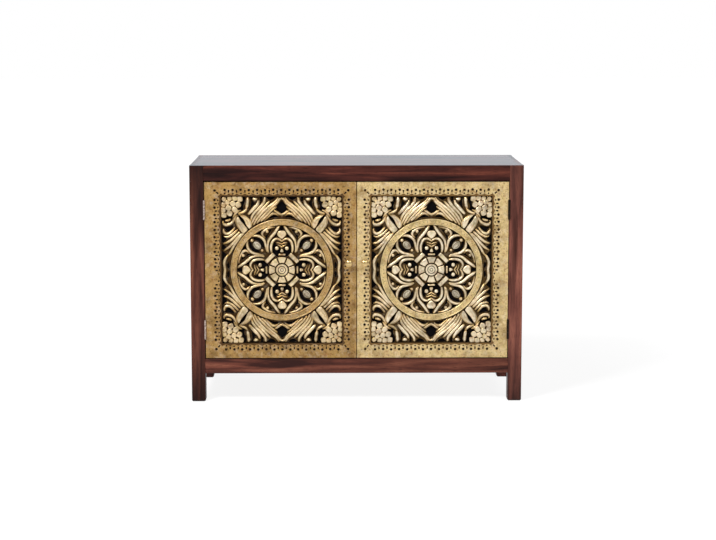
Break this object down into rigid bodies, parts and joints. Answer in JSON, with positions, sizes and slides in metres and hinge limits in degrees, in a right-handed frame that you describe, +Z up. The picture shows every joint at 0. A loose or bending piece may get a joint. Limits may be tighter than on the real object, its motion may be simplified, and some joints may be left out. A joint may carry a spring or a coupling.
{
  "type": "two-door sideboard cabinet",
  "caption": "Low sideboard cabinet with a dark wooden frame on square legs and a pair of inset hinged doors with pierced, carved and gilded panels.",
  "frame": {"origin": "on the floor, in the middle of the width and of the whole depth, knobs included", "axes": "+X to the right of someone who faces the doors, +Y from the doors to the back, +Z up"},
  "size_m": [1.08, 0.462, 0.775],
  "materials": {
    "dark_wood": "mahogany-stained hardwood under satin lacquer",
    "inner_wood": "stained wood, unpolished",
    "back_ply": "thin stained plywood",
    "gilded_wood": "carved wood painted antique gold, darker in the grooves",
    "black_board": "matt black paint",
    "bead_wood": "stained wood, unpolished",
    "brass": "lacquered brass, satin",
    "steel": "plated steel",
    "catch_plastic": "moulded brown plastic with a magnet inside"
  },
  "bodies": {
    "cabinet": {"bottom_board": "inner_wood", "bottom_cleats": "inner_wood", "catch_block": "inner_wood", "catch_left": "catch_plastic", "catch_right": "catch_plastic", "hinge_left_lower_pin": "brass", "hinge_left_lower_post_leaf": "brass", "hinge_left_upper_pin": "brass", "hinge_left_upper_post_leaf": "brass", "hinge_right_lower_pin": "brass", "hinge_right_lower_post_leaf": "brass", "hinge_right_upper_pin": "brass", "hinge_right_upper_post_leaf": "brass", "panel_back": "back_ply", "panel_left": "dark_wood", "panel_right": "dark_wood", "post_back_left": "dark_wood", "post_back_right": "dark_wood", "post_front_left": "dark_wood", "post_front_right": "dark_wood", "rail_back_bottom": "dark_wood", "rail_back_top": "dark_wood", "rail_front_bottom": "dark_wood", "rail_front_top": "dark_wood", "rail_left_bottom": "dark_wood", "rail_left_top": "dark_wood", "rail_right_bottom": "dark_wood", "rail_right_top": "dark_wood", "shelf": "inner_wood", "shelf_cleat_left": "inner_wood", "shelf_cleat_right": "inner_wood", "top_board": "dark_wood"},
    "door_left": {"door_left_backing": "black_board", "door_left_beads": "bead_wood", "door_left_fret": "gilded_wood", "door_left_knob": "brass", "door_left_rail_bottom": "gilded_wood", "door_left_rail_top": "gilded_wood", "door_left_stile_hinge": "gilded_wood", "door_left_stile_meeting": "gilded_wood", "door_left_strike": "steel", "hinge_left_lower_door_leaf": "brass", "hinge_left_upper_door_leaf": "brass"},
    "door_right": {"door_right_backing": "black_board", "door_right_beads": "bead_wood", "door_right_fret": "gilded_wood", "door_right_knob": "brass", "door_right_rail_bottom": "gilded_wood", "door_right_rail_top": "gilded_wood", "door_right_stile_hinge": "gilded_wood", "door_right_stile_meeting": "gilded_wood", "door_right_strike": "steel", "hinge_right_lower_door_leaf": "brass", "hinge_right_upper_door_leaf": "brass"}
  },
  "joints": [
    {"name": "door_left_hinge", "type": "hinge", "parent": "cabinet", "child": "door_left", "pos_m": [-0.49375, -0.211, 0.435], "axis": [0, 0, -1], "range_deg": [0, 170]},
    {"name": "door_right_hinge", "type": "hinge", "parent": "cabinet", "child": "door_right", "pos_m": [0.49375, -0.211, 0.435], "axis": [0, 0, 1], "range_deg": [0, 170]}
  ]
}
